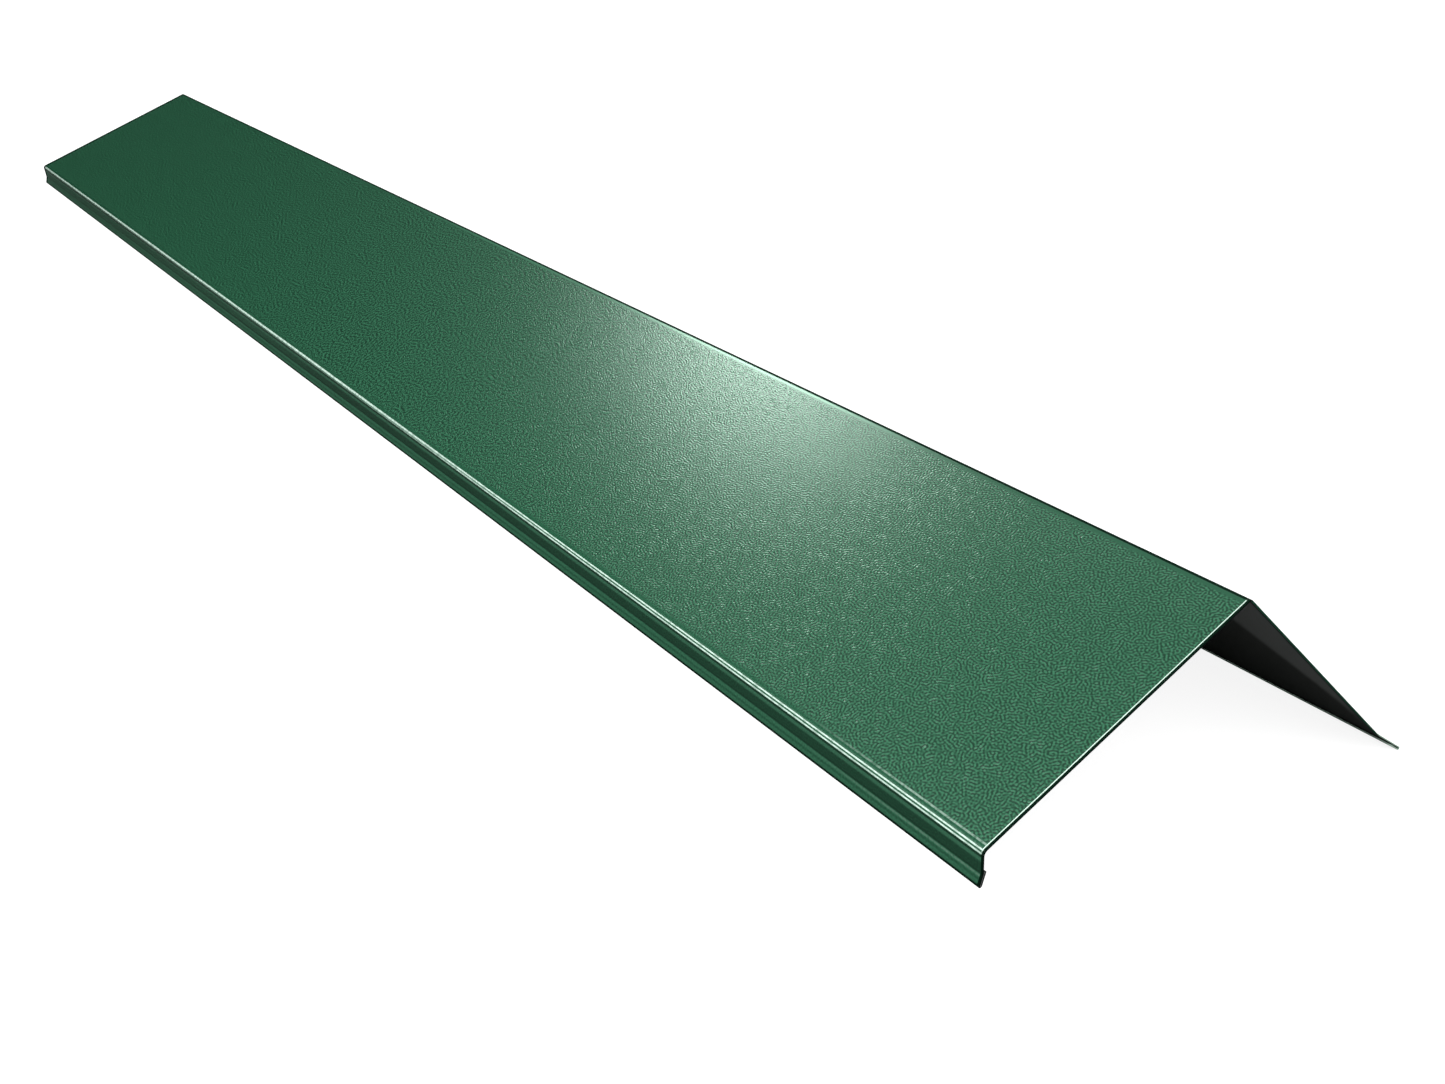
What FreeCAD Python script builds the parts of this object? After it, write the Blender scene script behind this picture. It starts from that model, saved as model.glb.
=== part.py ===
import FreeCAD, Part
import math
import os

# Verge flashing: one strip of coated steel sheet, folded into a roof leg and a fascia leg.
# The section lies in the XZ plane and runs along Y. It is drawn along the painted face, from the raw edge
# of the lip's hem, over the ridge, to the raw edge of the drip's hem, with every bend a true arc.

# Sheet
length = 1250.0
sheet_thickness = 0.6
hem_gap = 0.6

# Widths, measured on the painted face between the sharp corners of the bends
roof_leg_width = 155.0
fascia_leg_width = 190.0
lip_depth = 10.5
lip_kick_width = 6.0
lip_hem_width = 6.0
drip_width = 36.0
drip_hem_width = 12.0

# Angles in degrees
ridge_angle = 118.0
lip_turn = 75.0
lip_kick_turn = 20.0
drip_kick_turn = 6.0

# Inside radii of the bends
ridge_radius = 1.6
lip_radius = 2.2
lip_kick_radius = 2.0
drip_kick_radius = 4.0


def direction(degrees):
    """Unit vector in the section plane, measured from +X towards +Z."""
    angle = math.radians(degrees)
    return FreeCAD.Vector(math.cos(angle), 0.0, math.sin(angle))


def face_radius(turn, inside_radius):
    """Radius of the painted face in a bend: a right turn has that face on its outside."""
    if turn < 0:
        return inside_radius + sheet_thickness
    return inside_radius


def setback(turn, inside_radius):
    """Distance from a bend's sharp corner to where its arc begins, along the painted face."""
    return face_radius(turn, inside_radius) * math.tan(math.radians(abs(turn)) / 2)


def straight_runs(widths, bends, hem_radius):
    """Flat lengths left between the arcs, for widths that reach from corner to corner or to a hem's tip."""
    tip = [hem_radius + sheet_thickness]
    cuts = tip + [setback(turn, radius) for turn, radius in bends] + tip
    return [width - before - after for width, before, after in zip(widths, cuts, cuts[1:])]


def sheet_sides(runs, bends, heading):
    """Edges of the painted face and of the back, in travel order from the first raw edge to the last."""
    face_edges = []
    back_edges = []
    point = FreeCAD.Vector(0, 0, 0)
    for index, run in enumerate(runs):
        along = direction(heading)
        inward = direction(heading - 90) * sheet_thickness
        after = point + along * run
        face_edges.append(Part.LineSegment(point, after).toShape())
        back_edges.append(Part.LineSegment(point + inward, after + inward).toShape())
        point = after
        if index < len(bends):
            turn, inside_radius = bends[index]
            side = 1 if turn > 0 else -1
            radius = face_radius(turn, inside_radius)
            back_radius = radius + side * sheet_thickness
            centre = point + direction(heading + side * 90) * radius
            spokes = [direction(heading - side * 90 + turn * share) for share in (0.0, 0.5, 1.0)]
            face_edges.append(Part.Arc(*[centre + spoke * radius for spoke in spokes]).toShape())
            back_edges.append(Part.Arc(*[centre + spoke * back_radius for spoke in spokes]).toShape())
            heading += turn
            point = centre + spokes[2] * radius
    return face_edges, back_edges


def folded_section():
    """Closed outline of the folded sheet, with the roof leg level."""
    hem_radius = hem_gap / 2
    bends = [
        (lip_kick_turn, lip_kick_radius),
        (-lip_turn, lip_radius),
        (ridge_angle - 180, ridge_radius),
        (drip_kick_turn, drip_kick_radius),
    ]
    widths = [lip_kick_width, lip_depth, roof_leg_width, fascia_leg_width, drip_width]
    runs = [lip_hem_width] + straight_runs(widths, bends, hem_radius) + [drip_hem_width]
    hem = [(-180, hem_radius)]
    first_heading = lip_turn - lip_kick_turn + 180
    face_edges, back_edges = sheet_sides(runs, hem + bends + hem, first_heading)
    starts = Part.LineSegment(back_edges[0].Vertexes[0].Point, face_edges[0].Vertexes[0].Point)
    ends = Part.LineSegment(face_edges[-1].Vertexes[-1].Point, back_edges[-1].Vertexes[-1].Point)
    loop = [starts.toShape()] + face_edges + [ends.toShape()] + back_edges
    return Part.Wire(Part.__sortEdges__(loop))


def hem_centre(wire, side):
    """Centre of the hem's arc at the far left (side -1) or far right (side 1) of the section."""
    hem_radius = hem_gap / 2 + sheet_thickness
    arcs = [edge.Curve for edge in wire.Edges if isinstance(edge.Curve, Part.Circle)]
    hems = [arc for arc in arcs if abs(arc.Radius - hem_radius) < 1e-6]
    return max((arc.Center for arc in hems), key=lambda centre: side * centre.x)


def flashing():
    """Folded strip standing on the rounded tips of its two hems, like a low roof."""
    wire = folded_section()
    span = hem_centre(wire, 1) - hem_centre(wire, -1)
    tilt = math.degrees(math.atan2(span.z, span.x))
    solid = Part.Face(wire).extrude(FreeCAD.Vector(0, length, 0))
    solid.rotate(FreeCAD.Vector(0, 0, 0), FreeCAD.Vector(0, 1, 0), tilt)
    box = solid.BoundBox
    solid.translate(FreeCAD.Vector(-box.Center.x, -box.Center.y, -box.ZMin))
    return solid


os.makedirs("parts", exist_ok=True)
strip = flashing()
strip.exportStep("parts/verge_flashing.step")
bounds = strip.BoundBox
print("valid", strip.isValid(), "volume", round(strip.Volume, 1))
print("size", round(bounds.XLength, 2), round(bounds.YLength, 2), round(bounds.ZLength, 2))
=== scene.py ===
import functools
import math

import bpy
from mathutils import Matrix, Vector


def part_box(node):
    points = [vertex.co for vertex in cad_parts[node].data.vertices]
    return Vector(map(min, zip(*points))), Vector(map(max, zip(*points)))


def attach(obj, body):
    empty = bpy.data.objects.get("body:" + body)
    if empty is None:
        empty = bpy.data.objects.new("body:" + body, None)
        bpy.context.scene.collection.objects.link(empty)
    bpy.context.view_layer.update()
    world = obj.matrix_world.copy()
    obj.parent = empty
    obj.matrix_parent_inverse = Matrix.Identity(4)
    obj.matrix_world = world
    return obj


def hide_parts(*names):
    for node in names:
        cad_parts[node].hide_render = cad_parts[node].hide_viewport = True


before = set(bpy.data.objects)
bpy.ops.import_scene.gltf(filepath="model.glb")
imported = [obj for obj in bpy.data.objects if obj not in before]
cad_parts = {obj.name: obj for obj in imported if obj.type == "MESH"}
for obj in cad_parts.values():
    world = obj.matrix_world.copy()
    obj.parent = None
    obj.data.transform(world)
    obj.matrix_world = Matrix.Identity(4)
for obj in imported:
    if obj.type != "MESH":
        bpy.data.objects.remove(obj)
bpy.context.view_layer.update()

NODE = "verge_flashing"
CAD_LOW, CAD_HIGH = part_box(NODE)
FLAT_MAP = "flat_strip"

bl_info = {
    "name": "Verge Flashing",
    "version": (1, 0, 0),
    "blender": (4, 5, 0),
    "location": "View3D > Sidebar > Flashing",
    "description": "Folds a coated steel verge flashing and lights it in a plain studio",
    "category": "Add Mesh",
}


class FlashingSizes(bpy.types.PropertyGroup):
    """Sizes of the folded strip, on its painted face between the sharp corners of the bends."""

    length: bpy.props.FloatProperty(
        name="Length", description="Length of the strip along its bends",
        default=(CAD_HIGH - CAD_LOW).y, unit="LENGTH")
    thickness: bpy.props.FloatProperty(
        name="Sheet thickness", description="Steel with its coatings", default=0.0006, unit="LENGTH")
    hem_gap: bpy.props.FloatProperty(
        name="Hem gap", description="Space left inside a closed hem", default=0.0006, unit="LENGTH")
    lip_hem: bpy.props.FloatProperty(
        name="Lip hem", description="Width folded back behind the lip", default=0.006, unit="LENGTH")
    lip_kick: bpy.props.FloatProperty(
        name="Lip kick", description="Kicked-out lower strip of the lip, to the hem's tip",
        default=0.006, unit="LENGTH")
    lip_depth: bpy.props.FloatProperty(
        name="Lip depth", description="Upper strip of the lip", default=0.0105, unit="LENGTH")
    roof_leg: bpy.props.FloatProperty(
        name="Roof leg", description="Width of the leg that lies on the roof", default=0.155, unit="LENGTH")
    fascia_leg: bpy.props.FloatProperty(
        name="Fascia leg", description="Width of the leg that covers the barge board",
        default=0.190, unit="LENGTH")
    drip: bpy.props.FloatProperty(
        name="Drip", description="Kicked-out strip under the fascia leg, to the hem's tip",
        default=0.036, unit="LENGTH")
    drip_hem: bpy.props.FloatProperty(
        name="Drip hem", description="Width folded back behind the drip", default=0.012, unit="LENGTH")
    lip_kick_turn: bpy.props.FloatProperty(
        name="Lip kick turn", description="Turn between the lip's two strips",
        default=math.radians(20), subtype="ANGLE")
    lip_turn: bpy.props.FloatProperty(
        name="Lip turn", description="Turn from the lip to the roof leg",
        default=math.radians(75), subtype="ANGLE")
    ridge_turn: bpy.props.FloatProperty(
        name="Ridge turn", description="Turn from the roof leg to the fascia leg",
        default=math.radians(62), subtype="ANGLE")
    drip_turn: bpy.props.FloatProperty(
        name="Drip turn", description="Turn from the fascia leg to the drip",
        default=math.radians(6), subtype="ANGLE")
    lip_kick_radius: bpy.props.FloatProperty(
        name="Lip kick radius", description="Inside radius of the lip's kick", default=0.002, unit="LENGTH")
    lip_radius: bpy.props.FloatProperty(
        name="Lip radius", description="Inside radius of the lip's bend", default=0.0022, unit="LENGTH")
    ridge_radius: bpy.props.FloatProperty(
        name="Ridge radius", description="Inside radius of the ridge bend", default=0.0016, unit="LENGTH")
    drip_radius: bpy.props.FloatProperty(
        name="Drip radius", description="Inside radius of the drip's kick", default=0.004, unit="LENGTH")
    edge_round: bpy.props.FloatProperty(
        name="Edge rounding", description="Rounding of the cut edges", default=0.00008, unit="LENGTH")


class FlashingFinish(bpy.types.PropertyGroup):
    """Colours and surface of the coatings."""

    coat_dark: bpy.props.FloatVectorProperty(
        name="Coating, hollows", description="Green of the coating between its grains",
        default=(0.0050, 0.046, 0.022), size=3, subtype="COLOR")
    coat_light: bpy.props.FloatVectorProperty(
        name="Coating, grains", description="Green of the coating's raised grains",
        default=(0.036, 0.178, 0.092), size=3, subtype="COLOR")
    # Painted highlight colour: painted on the front bend, along a press mark beside it, beside the kick, and
    # along the roof leg's cut, where lamps would glint.
    painted_light: bpy.props.FloatVectorProperty(
        name="Rubbed coating", description="Light coating where the bends and sheared edges are rubbed",
        default=(0.72, 0.94, 0.82), size=3, subtype="COLOR")
    # Painted light: lighter bands on the lip and a line beside the ridge, where the bends would catch the
    # light.
    painted_band_light: bpy.props.FloatVectorProperty(
        name="Lip, light bands", description="Lighter bands that the folding leaves on the lip",
        default=(0.10, 0.32, 0.19), size=3, subtype="COLOR")
    shade: bpy.props.FloatVectorProperty(
        name="Creases", description="Dark green in the creases and along the cut edges",
        default=(0.003, 0.022, 0.011), size=3, subtype="COLOR")
    backing: bpy.props.FloatVectorProperty(
        name="Backing coat", description="Dark grey coat on the inside",
        default=(0.026, 0.029, 0.027), size=3, subtype="COLOR")
    # Painted light: the backing coat is painted lighter by the cut ends, as light coming in at the open
    # ends, and stays dark deeper inside.
    backing_painted_light: bpy.props.FloatVectorProperty(
        name="Backing coat, rubbed", description="Backing coat rubbed paler by the cut ends",
        default=(0.090, 0.096, 0.093), size=3, subtype="COLOR")
    cut_steel: bpy.props.FloatVectorProperty(
        name="Cut edge", description="Dull cut edges of the sheet",
        default=(0.003, 0.006, 0.005), size=3, subtype="COLOR")
    cut_green: bpy.props.FloatVectorProperty(
        name="Cut edge, fascia leg", description="Cut edge under the coating that wraps over it",
        default=(0.025, 0.11, 0.065), size=3, subtype="COLOR")
    cut_pale: bpy.props.FloatVectorProperty(
        name="Cut edge, drip", description="Paler cut edge of the drip's folded layers",
        default=(0.30, 0.42, 0.34), size=3, subtype="COLOR")
    grain: bpy.props.FloatProperty(
        name="Grain", description="Distance between the coating's worm-like grains", default=0.0015,
        unit="LENGTH")
    grain_contrast: bpy.props.FloatProperty(
        name="Grain contrast", description="Strength of the grains", default=0.36)
    coarse_grain: bpy.props.FloatProperty(
        name="Coarse grain", description="Distance between the coarser grains that show from afar",
        default=0.003, unit="LENGTH")
    coarse_near: bpy.props.FloatProperty(
        name="Coarse grain, near end", description="Strength of the coarser grains by the near end",
        default=0.06)
    coarse_far: bpy.props.FloatProperty(
        name="Coarse grain, far half", description="Strength of the coarser grains on the far half",
        default=0.34)
    lip_grain: bpy.props.FloatProperty(
        name="Lip grain", description="Share of the grains' strength that is left on the lip", default=0.2)
    grain_share: bpy.props.FloatProperty(
        name="Grain share", description="Average share of the light green on the flats", default=0.42)
    even_share: bpy.props.FloatProperty(
        name="Even share", description="Share of the light green where the coating has no grains",
        default=0.45)
    grain_height: bpy.props.FloatProperty(
        name="Grain height", description="Height of the grains", default=0.000043, unit="LENGTH")
    edge_shade: bpy.props.FloatProperty(
        name="Edge shade", description="Share of the dark green along the ridge and the edges", default=0.96)
    roughness: bpy.props.FloatProperty(
        name="Roughness", description="Roughness of the matt coating", default=0.35)
    bend_roughness: bpy.props.FloatProperty(
        name="Roughness on the bends", description="The coating is stretched smooth there", default=0.25)
    lustre: bpy.props.FloatProperty(
        name="Lustre", description="Share of green metallic pigment in the coating", default=0.17)


class FlashingStage(bpy.types.PropertyGroup):
    """The studio: floor, lamps and camera."""

    floor_colour: bpy.props.FloatVectorProperty(
        name="Floor", description="Pale floor and backdrop", default=(0.4, 0.4, 0.4), size=3,
        subtype="COLOR")
    floor_radius: bpy.props.FloatProperty(
        name="Floor radius", description="Distance to the foot of the backdrop", default=6.0, unit="LENGTH")
    floor_glow: bpy.props.FloatProperty(
        name="Floor glow", description="What the floor adds to its colour to the eye", default=0.87)
    backdrop_height: bpy.props.FloatProperty(
        name="Backdrop height", description="Height of the low round backdrop", default=1.3, unit="LENGTH")
    card_reach: bpy.props.FloatProperty(
        name="Card reach", description="How far the dark cards reach past the piece", default=0.5,
        unit="LENGTH")
    ground_card_shade: bpy.props.FloatProperty(
        name="Ground card shade", description="Grey of the card under the piece", default=0.1)
    far_card_shade: bpy.props.FloatProperty(
        name="Far card shade", description="Grey of the card beyond the far end", default=0.01)
    far_card_start: bpy.props.FloatProperty(
        name="Far card start", description="Where the far card starts, along X", default=-1.2,
        unit="LENGTH")
    far_card_end: bpy.props.FloatProperty(
        name="Far card end", description="Where the far card ends, along X", default=1.0, unit="LENGTH")
    card_height: bpy.props.FloatProperty(
        name="Far card height", description="Height of the dark card beyond the far end", default=0.45,
        unit="LENGTH")
    surround: bpy.props.FloatProperty(
        name="Surroundings", description="Level of the dim surroundings", default=0.05)
    front_light: bpy.props.FloatProperty(
        name="Front light", description="Level of the even light from the front", default=1.1)
    front_from: bpy.props.FloatVectorProperty(
        name="Front light from", description="Direction that the even front light comes from", size=3,
        default=(-0.62, -0.45, 0.64), subtype="DIRECTION")
    even_spread: bpy.props.FloatProperty(
        name="Even light spread", description="How wide the even lights look from the piece",
        default=math.radians(60), subtype="ANGLE")
    back_light: bpy.props.FloatProperty(
        name="Back light", description="Level of the even light from behind", default=0.35)
    back_from: bpy.props.FloatVectorProperty(
        name="Back light from", description="Direction that the even back light comes from", size=3,
        default=(0.60, 0.30, 0.74), subtype="DIRECTION")
    patch_place: bpy.props.FloatVectorProperty(
        name="Softbox place", description="Where the softbox that makes the light patch hangs", size=3,
        default=(0.052, 0.28, 0.883), subtype="TRANSLATION", unit="LENGTH")
    patch_target: bpy.props.FloatVectorProperty(
        name="Softbox target", description="Point under the roof leg that the softbox faces", size=3,
        default=(-0.05, -0.1, 0.06), subtype="TRANSLATION", unit="LENGTH")
    patch_size: bpy.props.FloatProperty(
        name="Softbox size", description="Side of the square softbox", default=0.31, unit="LENGTH")
    patch_power: bpy.props.FloatProperty(
        name="Softbox power", description="Power of the softbox", default=6.8, unit="POWER")
    strip_distance: bpy.props.FloatProperty(
        name="Strip distance", description="From the front bend to the strip lamp", default=0.38,
        unit="LENGTH")
    strip_height: bpy.props.FloatProperty(
        name="Strip height", description="Angle of the strip lamp above the floor, from the front bend",
        default=math.radians(50), subtype="ANGLE")
    strip_width: bpy.props.FloatProperty(
        name="Strip width", description="Width of the strip lamp", default=0.07, unit="LENGTH")
    strip_start: bpy.props.FloatProperty(
        name="Strip start", description="Where the strip lamp starts, along Y", default=-1.3, unit="LENGTH")
    strip_end: bpy.props.FloatProperty(
        name="Strip end", description="Where the strip lamp ends, along Y", default=-0.2, unit="LENGTH")
    strip_radiance: bpy.props.FloatProperty(
        name="Strip radiance", description="Radiance of the strip lamp", default=2.3)
    front_bend_height: bpy.props.FloatProperty(
        name="Front bend height", description="Height of the front bend", default=0.0157, unit="LENGTH")
    camera_place: bpy.props.FloatVectorProperty(
        name="Camera place", description="Where the camera stands", size=3,
        default=(-0.55349, -0.88099, 0.26821), subtype="TRANSLATION", unit="LENGTH")
    camera_turn: bpy.props.FloatVectorProperty(
        name="Camera turn", description="How the camera is turned", size=3, subtype="EULER",
        default=(math.radians(71.7085), math.radians(-11.5871), math.radians(-38.2347)))
    lens: bpy.props.FloatProperty(name="Lens", description="Focal length in millimetres", default=35.37)
    shift: bpy.props.FloatProperty(
        name="Shift", description="Upward shift of the lens, in picture widths", default=-0.0256)


def clear_selection():
    """Leaves object mode's selection empty, so that an operator acts on its own piece only."""
    if bpy.context.object and bpy.context.object.mode != "OBJECT":
        bpy.ops.object.mode_set(mode="OBJECT")
    bpy.ops.object.select_all(action="DESELECT")


def make_active(piece):
    """Selects one piece alone."""
    clear_selection()
    piece.select_set(True)
    bpy.context.view_layer.objects.active = piece


def direction(angle):
    """Unit vector in the section plane, from +X towards +Z."""
    return Vector((math.cos(angle), 0.0, math.sin(angle)))


def hem_radius(sizes):
    """Radius of the painted face round a closed hem."""
    return sizes.hem_gap / 2 + sizes.thickness


def face_radius(sizes, turn, inside):
    """Radius of the painted face in a bend: a right turn has that face on its outside."""
    return inside + sizes.thickness if turn < 0 else inside


def setback(sizes, turn, inside):
    """Distance from a bend's sharp corner to where its arc begins, along the painted face."""
    return face_radius(sizes, turn, inside) * math.tan(abs(turn) / 2)


def strip_bends(sizes):
    """Each bend from the lip's hem on: the width that leads to it, its turn and its inside radius."""
    return [
        (sizes.lip_kick - hem_radius(sizes), sizes.lip_kick_turn, sizes.lip_kick_radius),
        (sizes.lip_depth, -sizes.lip_turn, sizes.lip_radius),
        (sizes.roof_leg, -sizes.ridge_turn, sizes.ridge_radius),
        (sizes.fascia_leg, sizes.drip_turn, sizes.drip_radius),
    ]


def start_sheet(sizes):
    """A flat flange as wide as the lip's hem, ending at the line X = 0."""
    bpy.ops.mesh.primitive_plane_add(size=1)
    sheet = bpy.context.object
    sheet.scale = (sizes.lip_hem, sizes.length, 1)
    sheet.location = (-sizes.lip_hem / 2, 0, 0)
    bpy.ops.object.transform_apply(location=True, rotation=True, scale=True)
    return sheet


def select_edge_at(sheet, point, tolerance=1e-5):
    """Selects the long edge that runs along the strip through a point of the section."""
    bpy.ops.mesh.select_all(action="DESELECT")
    bpy.ops.object.mode_set(mode="OBJECT")
    corners = [vertex.co for vertex in sheet.data.vertices]
    for edge in sheet.data.edges:
        ends = [corners[index] for index in edge.vertices]
        edge.select = all(math.hypot(end.x - point.x, end.z - point.z) < tolerance for end in ends)
    bpy.ops.object.mode_set(mode="EDIT")


def fold_hem(sizes, point, heading, steps=24):
    """Turns the leading edge right round in a closed hem: returns where it comes out, and the centre."""
    centre = point + direction(heading - math.pi / 2) * hem_radius(sizes)
    bpy.ops.mesh.spin(steps=steps, angle=-math.pi, center=centre, axis=(0, 1, 0), dupli=False)
    return centre * 2 - point, heading - math.pi, centre


def extend(point, heading, width):
    """Pulls the leading edge straight on, and returns where it comes to."""
    step = direction(heading) * width
    bpy.ops.mesh.extrude_edges_move(TRANSFORM_OT_translate={"value": step})
    return point + step


def fold_sheet(sizes):
    """Painted face folded from one raw edge to the other: its sharp bends, and the span of its hems."""
    sheet = start_sheet(sizes)
    bpy.ops.object.mode_set(mode="EDIT")
    bpy.ops.mesh.select_mode(type="EDGE")
    point = Vector((0, 0, 0))
    select_edge_at(sheet, point)
    point, heading, lip_centre = fold_hem(sizes, point, 0.0)
    bends = []
    for width, turn, inside in strip_bends(sizes):
        point = extend(point, heading, width)
        bends.append((point, turn, inside))
        heading += turn
    point = extend(point, heading, sizes.drip - hem_radius(sizes))
    point, heading, drip_centre = fold_hem(sizes, point, heading)
    extend(point, heading, sizes.drip_hem)
    bpy.ops.object.mode_set(mode="OBJECT")
    return sheet, bends, drip_centre - lip_centre


def round_bends(sizes, sheet, bends, fewest=4, facet=math.radians(5)):
    """Rounds each sharp bend to its radius."""
    bpy.ops.object.mode_set(mode="EDIT")
    for point, turn, inside in bends:
        segments = max(fewest, round(abs(turn) / facet))
        select_edge_at(sheet, point)
        bpy.ops.mesh.bevel(offset=setback(sizes, turn, inside), offset_type="OFFSET", segments=segments,
                           profile=0.5, affect="EDGES")
    bpy.ops.object.mode_set(mode="OBJECT")


def face_outwards(sheet):
    """Turns all faces to the painted side, which is the upper side of the widest face."""
    make_active(sheet)
    bpy.ops.object.mode_set(mode="EDIT")
    bpy.ops.mesh.select_all(action="SELECT")
    bpy.ops.mesh.remove_doubles(threshold=1e-7)
    bpy.ops.mesh.normals_make_consistent(inside=False)
    bpy.ops.object.mode_set(mode="OBJECT")
    widest = max(sheet.data.polygons, key=lambda face: face.area)
    if widest.normal.z < 0:
        bpy.ops.object.mode_set(mode="EDIT")
        bpy.ops.mesh.flip_normals()
        bpy.ops.object.mode_set(mode="OBJECT")


def bend_places(sizes):
    """Distance over the painted face from the lip's raw edge to the middle of each bend."""
    place = sizes.lip_hem + math.pi * hem_radius(sizes)
    last_setback = 0.0
    places = []
    for width, turn, inside in strip_bends(sizes):
        cut_back = setback(sizes, turn, inside)
        half_arc = face_radius(sizes, turn, inside) * abs(turn) / 2
        place += width - last_setback - cut_back + half_arc
        places.append(place)
        place += half_arc
        last_setback = cut_back
    return places


def unroll(sheet, tolerance=1e-5):
    """Maps the strip as it lay flat: across it from the lip's raw edge, and along it from its middle."""
    mesh = sheet.data
    near_y = min(vertex.co.y for vertex in mesh.vertices)
    near = {vertex.index for vertex in mesh.vertices if vertex.co.y < near_y + tolerance}
    neighbours, partners = {}, {}
    for edge in mesh.edges:
        first, second = edge.vertices
        if first in near and second in near:
            neighbours.setdefault(first, []).append(second)
            neighbours.setdefault(second, []).append(first)
        elif first in near or second in near:
            partners[first], partners[second] = second, first
    ends = [index for index, beside in neighbours.items() if len(beside) == 1]
    here = min(ends, key=lambda index: abs(mesh.vertices[index].co.z))
    across, last, place = {}, None, 0.0
    while here is not None:
        across[here] = across[partners[here]] = place
        onward = [index for index in neighbours[here] if index != last]
        last, here = here, onward[0] if onward else None
        if here is not None:
            place += (mesh.vertices[here].co - mesh.vertices[last].co).length
    layer = mesh.uv_layers.active or mesh.uv_layers.new(name=FLAT_MAP)
    layer.name = FLAT_MAP
    for loop in mesh.loops:
        layer.data[loop.index].uv = (across[loop.vertex_index], mesh.vertices[loop.vertex_index].co.y)


def coat_sheet(sizes, finish, sheet):
    """Painted side, inside and cut edge, in the order in which the thickened sheet takes them."""
    for material in (coating(sizes, finish), backing_coat(sizes, finish), cut_edge(sizes, finish)):
        sheet.data.materials.append(material)


def thicken(sizes, sheet):
    """Gives the sheet its thickness under the painted face, with its own faces for back and cut edge."""
    make_active(sheet)
    wall = sheet.modifiers.new("sheet thickness", "SOLIDIFY")
    wall.thickness = sizes.thickness
    wall.offset = -1
    wall.use_even_offset = True
    wall.use_rim = True
    wall.material_offset = 1
    wall.material_offset_rim = 2
    bpy.ops.object.modifier_apply(modifier=wall.name)
    rounding = sheet.modifiers.new("cut edges", "BEVEL")
    rounding.width = sizes.edge_round
    rounding.segments = 2
    rounding.limit_method = "ANGLE"
    rounding.angle_limit = math.radians(60)
    rounding.material = 2
    bpy.ops.object.modifier_apply(modifier=rounding.name)
    bpy.ops.object.shade_smooth_by_angle(angle=math.radians(30))


def stand(sheet, tilt, target_low):
    """Tilts the section and moves it onto its place in the frame, in the mesh itself."""
    make_active(sheet)
    sheet.rotation_euler = (0, tilt, 0)
    bpy.ops.object.transform_apply(location=False, rotation=True, scale=False)
    corners = [vertex.co for vertex in sheet.data.vertices]
    low = Vector([min(corner[axis] for corner in corners) for axis in range(3)])
    sheet.location = target_low - low
    bpy.ops.object.transform_apply(location=True, rotation=False, scale=False)


class MESH_OT_fold_flashing(bpy.types.Operator):
    """Folds the strip and gives it its coatings"""

    bl_idname = "mesh.fold_flashing"
    bl_label = "Fold the verge flashing"

    def execute(self, context):
        sizes = context.scene.flashing_sizes
        finish = context.scene.flashing_finish
        clear_selection()
        sheet, bends, hem_span = fold_sheet(sizes)
        round_bends(sizes, sheet, bends)
        unroll(sheet)
        stand(sheet, math.atan2(hem_span.z, hem_span.x), CAD_LOW)
        face_outwards(sheet)
        coat_sheet(sizes, finish, sheet)
        thicken(sizes, sheet)
        sheet.name = "folded_flashing"
        sheet.data.name = "folded_flashing"
        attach(sheet, "root")
        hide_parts(NODE)
        return {"FINISHED"}


def new_material(name):
    """An empty node material and its shader."""
    material = bpy.data.materials.new(name)
    material.use_nodes = True
    return material, material.node_tree, material.node_tree.nodes["Principled BSDF"]


def node(tree, kind, **values):
    """A node with its inputs or attributes set by name."""
    made = tree.nodes.new(kind)
    for key, value in values.items():
        if key in made.inputs:
            made.inputs[key].default_value = value
        else:
            setattr(made, key, value)
    return made


def compute(tree, operation, first, second=None):
    """A Math node's result, from sockets or plain numbers."""
    made = node(tree, "ShaderNodeMath", operation=operation)
    for socket, value in zip(made.inputs, (first, second)):
        if isinstance(value, bpy.types.NodeSocket):
            tree.links.new(value, socket)
        elif value is not None:
            socket.default_value = value
    return made.outputs[0]


def total(tree, *values):
    """Sum of sockets and plain numbers."""
    return functools.reduce(functools.partial(compute, tree, "ADD"), values)


def product(tree, *values):
    """Product of sockets and plain numbers."""
    return functools.reduce(functools.partial(compute, tree, "MULTIPLY"), values)


def highest(tree, *values):
    """Highest of sockets and plain numbers."""
    return functools.reduce(functools.partial(compute, tree, "MAXIMUM"), values)


def fade(tree, value, start, end, low=0.0, high=1.0):
    """A smooth step: low where the value is at start, high where it is at end."""
    made = node(tree, "ShaderNodeMapRange", interpolation_type="SMOOTHSTEP")
    for name, number in (("From Min", start), ("From Max", end), ("To Min", low), ("To Max", high)):
        made.inputs[name].default_value = number
    tree.links.new(value, made.inputs["Value"])
    return made.outputs["Result"]


def blend(tree, amount, first, second):
    """A mix of two colours, each a socket or a plain colour."""
    made = node(tree, "ShaderNodeMix", data_type="RGBA")
    tree.links.new(amount, made.inputs["Factor"])
    for socket, value in ((made.inputs[6], first), (made.inputs[7], second)):
        if isinstance(value, bpy.types.NodeSocket):
            tree.links.new(value, socket)
        else:
            socket.default_value = (*value, 1)
    return made.outputs[2]


def noise(tree, vector, period, **values):
    """A noise of about the given period."""
    made = node(tree, "ShaderNodeTexNoise", Scale=1 / period, **values)
    tree.links.new(vector, made.inputs["Vector"])
    return made.outputs["Fac"]


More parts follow.
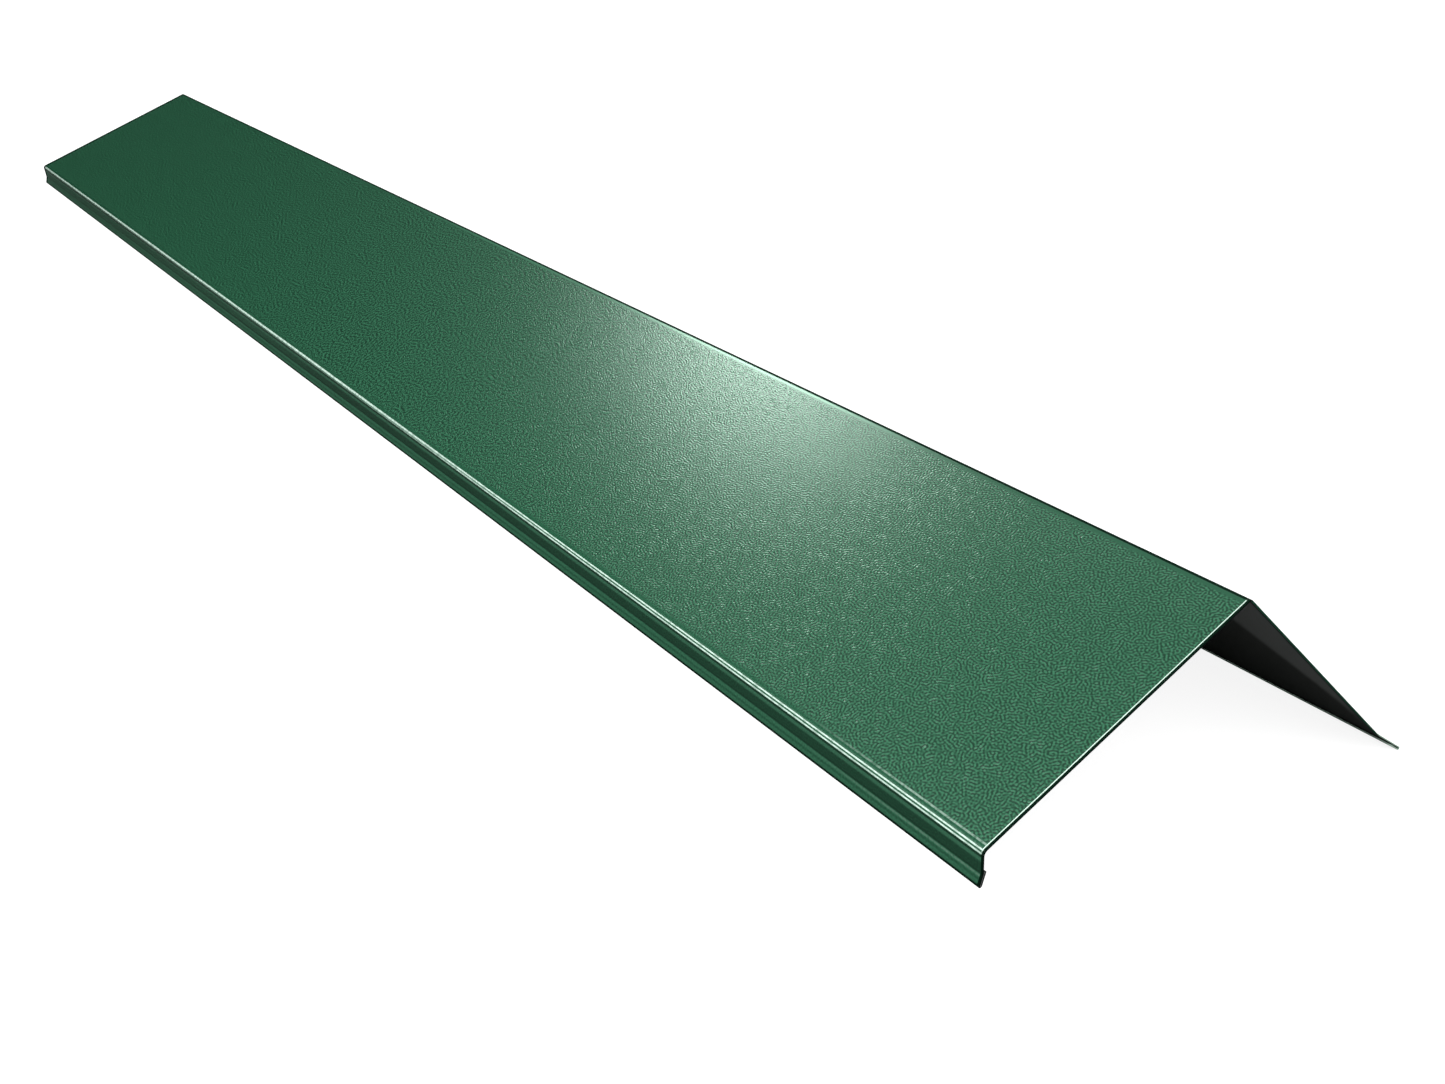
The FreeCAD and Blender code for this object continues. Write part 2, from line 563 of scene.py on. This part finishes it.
def wrinkles(tree, vector, period, height):
    """Even worm-like wrinkles in all directions, the given distance apart, above and below zero."""
    waves_per_patch, middle, deviation = 2.0, 0.5, 1 / 12
    made = node(tree, "ShaderNodeTexGabor", gabor_type="2D", Scale=1 / (waves_per_patch * period),
                Frequency=waves_per_patch, Anisotropy=0.0)
    tree.links.new(vector, made.inputs["Vector"])
    return product(tree, compute(tree, "SUBTRACT", made.outputs["Value"], middle), height / deviation)


def line_along(tree, across, place, half_width, core=0.4):
    """A soft line along the strip, at a distance across it, full in its core share of the width."""
    offset = compute(tree, "ABSOLUTE", compute(tree, "SUBTRACT", across, place))
    return fade(tree, offset, half_width, half_width * core)


def lines_beside(tree, across, bend, rows):
    """Soft lines beside a bend, each a row of distance past the bend, half width and strength."""
    lines = [product(tree, line_along(tree, across, bend + past, half_width), strength)
             for past, half_width, strength in rows]
    return highest(tree, *lines)


# Soft lines beside a bend of the unrolled strip: distance past the bend, half width and strength
# SHADES rows are painted shade, BANDS rows painted light, the two rows after them painted highlights, and
# CREST_GLOSS sets roughness only.
KICK_SHADES = ((0.0002, 0.0009, 0.7), (-0.0025, 0.0009, 0.2))
FRONT_SHADES = ((-0.0021, 0.0009, 0.75),)
KICK_BANDS = ((-0.0012, 0.0012, 0.14), (-0.0038, 0.0014, 0.12))
FRONT_BANDS = ((-0.0036, 0.0016, 0.28),)
CREST_BANDS = ((-0.0012, 0.0010, 0.4),)
KICK_GLINTS = ((-0.0011, 0.0006, 0.1),)
FRONT_MARK_GLINTS = ((0.0029, 0.0006, 0.35),)
CREST_GLOSS = ((-0.0012, 0.0009, 0.5),)


class Strip:
    """Where a shaded point lies on the unrolled strip, and where the strip's bends lie on it."""

    def __init__(self, tree, sizes):
        self.tree = tree
        self.half_length = sizes.length / 2
        self.near_end = -self.half_length
        self.flat = node(tree, "ShaderNodeUVMap", uv_map=FLAT_MAP).outputs["UV"]
        split = node(tree, "ShaderNodeSeparateXYZ")
        tree.links.new(self.flat, split.inputs[0])
        self.across, self.along = split.outputs["X"], split.outputs["Y"]
        self.kick, self.front, self.ridge, self.drip = bend_places(sizes)
        ridge_arc = face_radius(sizes, -sizes.ridge_turn, sizes.ridge_radius) * sizes.ridge_turn
        self.crest = self.ridge - ridge_arc / 2
        self.hem_end = sizes.lip_hem + math.pi * hem_radius(sizes)

    def from_cut(self):
        """Distance from the nearer cut end."""
        return compute(self.tree, "SUBTRACT", self.half_length, compute(self.tree, "ABSOLUTE", self.along))

    def over(self, start, end, low=0.0, high=1.0):
        """A smooth step along the strip, between two distances from its near end."""
        return fade(self.tree, self.along, self.near_end + start, self.near_end + end, low, high)


def grains(tree, strip, finish):
    """Share of the coating's light colour: wrinkled on the flats, even where a bend stretched it."""
    coarse_share = strip.over(0.125, 0.625, finish.coarse_near, finish.coarse_far)
    coarse = wrinkles(tree, strip.flat, finish.coarse_grain, 1.0)
    worms = total(tree, wrinkles(tree, strip.flat, finish.grain, finish.grain_contrast),
                  product(tree, coarse, coarse_share), finish.grain_share)
    behind_front = fade(tree, strip.across, strip.front + 0.002, strip.front + 0.005, low=finish.lip_grain)
    crest_stretch = line_along(tree, strip.across, strip.crest - 0.0006, half_width=0.0030)
    textured = product(tree, behind_front, compute(tree, "SUBTRACT", 1.0, crest_stretch))
    relief = product(tree, compute(tree, "SUBTRACT", worms, finish.even_share), textured)
    return total(tree, relief, finish.even_share)


def lip_shades(tree, strip, softer):
    """Painted shade: dark lines by the kick and under the front bend, and the lip's upper strip darkened as
    if turned from the light.
    """
    creases = lines_beside(tree, strip.across, strip.kick, KICK_SHADES)
    under_front = lines_beside(tree, strip.across, strip.front, FRONT_SHADES)
    upper_strip = product(tree, fade(tree, strip.across, strip.kick, strip.kick + 0.001),
                          fade(tree, strip.across, strip.front - 0.0040, strip.front - 0.0056),
                          strip.over(0.725, 0.525, high=0.5))
    return highest(tree, product(tree, creases, softer), upper_strip, under_front)


def painted_light_bands(tree, strip, softer):
    """Painted light: lighter bands on the lip where its bends would catch the light, and a painted highlight
    beside the ridge along part of its length.
    """
    on_lip = highest(tree, lines_beside(tree, strip.across, strip.front, FRONT_BANDS),
                     lines_beside(tree, strip.across, strip.kick, KICK_BANDS))
    beside_ridge = product(tree, lines_beside(tree, strip.across, strip.crest, CREST_BANDS),
                           strip.over(0.145, 0.265), strip.over(0.775, 0.575))
    return highest(tree, product(tree, on_lip, softer), beside_ridge)


def painted_bend_highlights(tree, strip, solid):
    """Two painted highlight lines on the front bend, where lamps would glint, that join towards the far end
    and are broken up by noise.
    """
    patches = noise(tree, solid, period=0.004, Detail=4.0, Roughness=0.6)
    patchy = fade(tree, patches, 0.35, 0.6, low=0.6)
    far_half = strip.over(0.25, 0.6)
    upper = line_along(tree, strip.across, strip.front + 0.0005, half_width=0.00045)
    lower = product(tree, line_along(tree, strip.across, strip.front - 0.0009, half_width=0.0005),
                    fade(tree, far_half, 0.0, 1.0, low=1.0, high=0.2))
    joined = product(tree, line_along(tree, strip.across, strip.front + 0.0003, half_width=0.0009), far_half)
    return product(tree, highest(tree, upper, lower, joined), patchy)


def painted_mark_highlights(tree, strip, solid):
    """Faint speckled lines of painted highlight by the near end: along a press mark beside the front bend,
    and beside the kick.
    """
    marks = highest(tree, lines_beside(tree, strip.across, strip.front, FRONT_MARK_GLINTS),
                    lines_beside(tree, strip.across, strip.kick, KICK_GLINTS))
    speckles = fade(tree, noise(tree, solid, period=0.0016), 0.3, 0.6, low=0.3)
    return product(tree, marks, strip.over(0.11, 0.03), speckles)


def sheared_edge_highlight(tree, strip):
    """Painted highlight: a light line along the cut of the roof leg, at the near end only."""
    on_leg = fade(tree, strip.across, strip.front - 0.001, strip.front + 0.001)
    near_half = strip.over(0.825, 0.625)
    return product(tree, line_along(tree, strip.from_cut(), 0.0013, half_width=0.0003), on_leg, near_half)


def painted_edge_shade(tree, strip, finish):
    """Painted shade: dark lines over the ridge, along the cut ends and under the lip's hem."""
    over_ridge = product(tree, fade(tree, strip.across, strip.crest - 0.0006, strip.crest - 0.0001),
                         fade(tree, strip.across, strip.ridge + 0.0025, strip.ridge + 0.0015))
    cut_width = strip.over(0.525, 0.725, low=0.0010, high=0.0045)
    along_cut = fade(tree, compute(tree, "SUBTRACT", strip.from_cut(), cut_width), 0.0002, 0.0)
    under_hem = fade(tree, strip.across, strip.hem_end + 0.0008, strip.hem_end + 0.0002)
    return product(tree, highest(tree, over_ridge, along_cut, under_hem), finish.edge_shade)


def coating(sizes, finish):
    """Matt green coating: worm-like grains on the flats, painted highlights and painted shade along bends
    and edges.
    """
    material, tree, shader = new_material("textured_green_coating")
    strip = Strip(tree, sizes)
    solid = node(tree, "ShaderNodeTexCoord").outputs["Object"]
    softer = strip.over(0.625, 1.025, low=1.0, high=0.45)
    relief = grains(tree, strip, finish)
    # Painted highlights on the front bend, the marks and the roof leg's cut.
    light = highest(tree, painted_bend_highlights(tree, strip, solid), painted_mark_highlights(tree, strip, solid),
                    sheared_edge_highlight(tree, strip))
    # Painted shade over the ridge, along the cut ends and under the lip's hem.
    dark = painted_edge_shade(tree, strip, finish)

    # Over the grains go painted light bands, painted shade, painted highlights and painted edge shade, in
    # that order.
    colour = blend(tree, relief, finish.coat_dark, finish.coat_light)
    colour = blend(tree, painted_light_bands(tree, strip, softer), colour, finish.painted_band_light)
    colour = blend(tree, lip_shades(tree, strip, softer), colour, finish.shade)
    colour = blend(tree, light, colour, finish.painted_light)
    colour = blend(tree, dark, colour, finish.shade)
    tree.links.new(colour, shader.inputs["Base Color"])
    # No metallic pigment under the painted highlights; the painted shade is made fully metallic, and below
    # fully rough, so that its near-black shows no gloss.
    pigment = fade(tree, light, 0.0, 1.0, low=finish.lustre, high=0.0)
    tree.links.new(highest(tree, pigment, dark), shader.inputs["Metallic"])

    bump = node(tree, "ShaderNodeBump", Strength=1.0, Distance=finish.grain_height)
    tree.links.new(relief, bump.inputs["Height"])
    tree.links.new(bump.outputs["Normal"], shader.inputs["Normal"])
    stretched = highest(tree, line_along(tree, strip.across, strip.front, half_width=0.004),
                        lines_beside(tree, strip.across, strip.crest, CREST_GLOSS))
    roughness = fade(tree, stretched, 0.0, 1.0, finish.roughness, finish.bend_roughness)
    tree.links.new(highest(tree, roughness, dark), shader.inputs["Roughness"])
    return material


def backing_coat(sizes, finish):
    """Thin dark grey backing coat with painted light by the cut ends and a painted dark line beside the cut,
    and green wrapped round the cut itself.
    """
    material, tree, shader = new_material("backing_coat")
    strip = Strip(tree, sizes)
    from_cut = strip.from_cut()
    # Painted light: a lighter band by the cut ends, widest at the ridge, as light coming in at the open
    # ends.
    reach = fade(tree, strip.across, strip.ridge, strip.drip, low=0.045, high=0.002)
    paler = fade(tree, compute(tree, "SUBTRACT", from_cut, reach), 0.003, -0.006)
    # Painted shade: a dark line beside the cut.
    cut_shade_line = line_along(tree, from_cut, 0.0016, half_width=0.0008)
    wrapped = product(tree, fade(tree, from_cut, 0.0012, 0.0009),
                      fade(tree, strip.across, strip.ridge, strip.ridge + 0.002))
    colour = blend(tree, paler, finish.backing, finish.backing_painted_light)
    colour = blend(tree, cut_shade_line, colour, finish.cut_steel)
    colour = blend(tree, wrapped, colour, finish.cut_green)
    tree.links.new(colour, shader.inputs["Base Color"])
    shader.inputs["Roughness"].default_value = 0.6
    shader.inputs["Specular IOR Level"].default_value = 0.1
    return material


def cut_edge(sizes, finish):
    """Dull dark steel where the sheet was cut, greener on the fascia leg and paler at the drip."""
    material, tree, shader = new_material("cut_steel_edge")
    strip = Strip(tree, sizes)
    past_ridge = fade(tree, strip.across, strip.ridge, strip.ridge + 0.002)
    past_drip = fade(tree, strip.across, strip.drip, strip.drip + 0.004)
    colour = blend(tree, past_ridge, finish.cut_steel, finish.cut_green)
    colour = blend(tree, past_drip, colour, finish.cut_pale)
    tree.links.new(colour, shader.inputs["Base Color"])
    tree.links.new(compute(tree, "SUBTRACT", 1.0, past_drip), shader.inputs["Metallic"])
    shader.inputs["Roughness"].default_value = 0.8
    return material


def pale_material(name, colour, strength):
    """Pale surface that shows brighter to the eye and in reflections than it lights the piece."""
    material, tree, shader = new_material(name)
    shader.inputs["Base Color"].default_value = (*colour, 1)
    shader.inputs["Roughness"].default_value = 0.9
    shader.inputs["Specular IOR Level"].default_value = 0.0
    shader.inputs["Emission Color"].default_value = (1, 1, 1, 1)
    path = node(tree, "ShaderNodeLightPath").outputs
    seen = highest(tree, path["Is Camera Ray"], path["Is Glossy Ray"], path["Is Transmission Ray"])
    tree.links.new(product(tree, seen, strength), shader.inputs["Emission Strength"])
    return material


def add_circle(name, radius, fill):
    """A circle round the origin, on the floor."""
    clear_selection()
    bpy.ops.mesh.primitive_circle_add(vertices=96, radius=radius, fill_type=fill)
    circle = bpy.context.object
    circle.name = name
    return circle


def add_floor(stage):
    """Round pale floor."""
    floor = add_circle("pale_floor", stage.floor_radius, "NGON")
    floor.data.materials.append(pale_material("pale_floor", stage.floor_colour, stage.floor_glow))


def add_backdrop(stage, steps=10):
    """Low backdrop that curves up from the floor's rim all round."""
    backdrop = add_circle("low_backdrop", stage.floor_radius, "NOTHING")
    bpy.ops.object.mode_set(mode="EDIT")
    bpy.ops.mesh.select_mode(type="EDGE")
    bpy.ops.mesh.select_all(action="SELECT")
    radius = stage.floor_radius
    part = math.pi / 2 / steps
    for step in range(steps):
        rise = stage.backdrop_height * (math.cos(step * part) - math.cos((step + 1) * part))
        grown = 1 + rise / math.tan((step + 0.5) * part) / radius
        bpy.ops.mesh.extrude_edges_move(TRANSFORM_OT_translate={"value": (0, 0, rise)})
        bpy.ops.transform.resize(value=(grown, grown, 1), center_override=(0, 0, 0))
        radius *= grown
    bpy.ops.object.mode_set(mode="OBJECT")
    bpy.ops.object.shade_smooth()
    backdrop.data.materials.append(pale_material("pale_backdrop", stage.floor_colour, 1.0))


def add_card(name, low, high, shade):
    """A dark card between two corners, flat or upright, that only reflections see."""
    clear_selection()
    bpy.ops.mesh.primitive_plane_add(size=1)
    card = bpy.context.object
    card.name = name
    span = high - low
    if span.y < span.z:
        card.rotation_euler = (math.pi / 2, 0, 0)
        card.scale = (span.x, span.z, 1)
    else:
        card.scale = (span.x, span.y, 1)
    card.location = (low + high) / 2
    card.visible_camera = card.visible_diffuse = card.visible_transmission = False
    card.visible_shadow = False
    material, _, shader = new_material(name)
    shader.inputs["Base Color"].default_value = (shade, shade, shade, 1)
    shader.inputs["Roughness"].default_value = 1.0
    shader.inputs["Specular IOR Level"].default_value = 0.0
    card.data.materials.append(material)


def add_cards(stage):
    """Dark cards that the coating mirrors, one under the piece and one beyond its far end."""
    reach = Vector((stage.card_reach, stage.card_reach, 0))
    above_floor = Vector((0, 0, 0.0002))
    floor_corner = Vector((CAD_HIGH.x, CAD_HIGH.y, CAD_LOW.z))
    add_card("dark_ground_card", CAD_LOW - reach + above_floor, floor_corner + reach + above_floor,
             stage.ground_card_shade)
    far_line = CAD_HIGH.y + stage.card_reach
    add_card("dark_far_card", Vector((stage.far_card_start, far_line, CAD_LOW.z)),
             Vector((stage.far_card_end, far_line, stage.card_height)), stage.far_card_shade)


def add_lamp(name, place, target, size, power):
    """A soft rectangular lamp that faces a point."""
    bpy.ops.object.light_add(type="AREA", location=place)
    lamp = bpy.context.object
    lamp.name = name
    lamp.data.shape = "RECTANGLE"
    lamp.data.size, lamp.data.size_y = size
    lamp.data.energy = power
    aim = Vector(target) - Vector(place)
    lamp.rotation_euler = aim.to_track_quat("-Z", "Y").to_euler()
    return lamp


def add_even_light(name, towards, level, spread):
    """A wide sun from a direction, at the level that a white surface facing it would show."""
    bpy.ops.object.light_add(type="SUN", rotation=Vector(towards).to_track_quat("Z", "Y").to_euler())
    even = bpy.context.object
    even.name = name
    even.data.energy = level * math.pi
    even.data.angle = spread


def add_strip_lamp(stage):
    """A narrow lamp along Y, beside the near end, that draws a bright line on the front bend."""
    length = stage.strip_end - stage.strip_start
    middle = (stage.strip_start + stage.strip_end) / 2
    bend = Vector((CAD_LOW.x, middle, stage.front_bend_height))
    outwards = direction(math.pi - stage.strip_height) * stage.strip_distance
    power = stage.strip_radiance * math.pi * length * stage.strip_width
    add_lamp("near_strip", bend + outwards, bend, (length, stage.strip_width), power)


def add_lamps(stage):
    """Even light from the front and from behind, the softbox of the light patch, and the strip lamp."""
    add_even_light("even_front_light", stage.front_from, stage.front_light, stage.even_spread)
    add_even_light("even_back_light", stage.back_from, stage.back_light, stage.even_spread)
    patch = add_lamp("patch_softbox", stage.patch_place, stage.patch_target,
                     (stage.patch_size, stage.patch_size), stage.patch_power)
    patch.visible_diffuse = False
    add_strip_lamp(stage)


def add_world(stage):
    """Dim even surroundings above the backdrop."""
    world = bpy.data.worlds.new("studio")
    bpy.context.scene.world = world
    world.use_nodes = True
    surroundings = world.node_tree.nodes["Background"]
    surroundings.inputs["Color"].default_value = (1, 1, 1, 1)
    surroundings.inputs["Strength"].default_value = stage.surround


def add_camera(stage):
    """Camera at the photograph's angle."""
    bpy.ops.object.camera_add(location=stage.camera_place, rotation=stage.camera_turn)
    camera = bpy.context.object
    camera.data.lens = stage.lens
    camera.data.sensor_width = 36.0
    camera.data.shift_y = stage.shift
    camera.data.clip_start = 0.01
    bpy.context.scene.camera = camera


class SCENE_OT_build_stage(bpy.types.Operator):
    """Builds the floor, backdrop, lamps, surroundings and camera"""

    bl_idname = "scene.build_flashing_stage"
    bl_label = "Build the stage"

    def execute(self, context):
        stage = context.scene.flashing_stage
        add_floor(stage)
        add_backdrop(stage)
        add_cards(stage)
        add_world(stage)
        add_lamps(stage)
        add_camera(stage)
        context.scene.view_settings.view_transform = "Standard"
        return {"FINISHED"}


class VIEW3D_PT_flashing(bpy.types.Panel):
    """Sizes, finish and the buttons that build the model"""

    bl_label = "Verge flashing"
    bl_idname = "VIEW3D_PT_flashing"
    bl_space_type = "VIEW_3D"
    bl_region_type = "UI"
    bl_category = "Flashing"

    def draw(self, context):
        for group in ("flashing_sizes", "flashing_finish", "flashing_stage"):
            settings = getattr(context.scene, group)
            for name in settings.__annotations__:
                self.layout.prop(settings, name)
        self.layout.operator(MESH_OT_fold_flashing.bl_idname)
        self.layout.operator(SCENE_OT_build_stage.bl_idname)


CLASSES = (
    FlashingSizes,
    FlashingFinish,
    FlashingStage,
    MESH_OT_fold_flashing,
    SCENE_OT_build_stage,
    VIEW3D_PT_flashing,
)


def register():
    for made in CLASSES:
        bpy.utils.register_class(made)
    bpy.types.Scene.flashing_sizes = bpy.props.PointerProperty(type=FlashingSizes)
    bpy.types.Scene.flashing_finish = bpy.props.PointerProperty(type=FlashingFinish)
    bpy.types.Scene.flashing_stage = bpy.props.PointerProperty(type=FlashingStage)


def unregister():
    del bpy.types.Scene.flashing_stage
    del bpy.types.Scene.flashing_finish
    del bpy.types.Scene.flashing_sizes
    for made in reversed(CLASSES):
        bpy.utils.unregister_class(made)


def main():
    """Builds the piece and the stage."""
    register()
    bpy.ops.mesh.fold_flashing()
    bpy.ops.scene.build_flashing_stage()


if __name__ == "__main__":
    main()
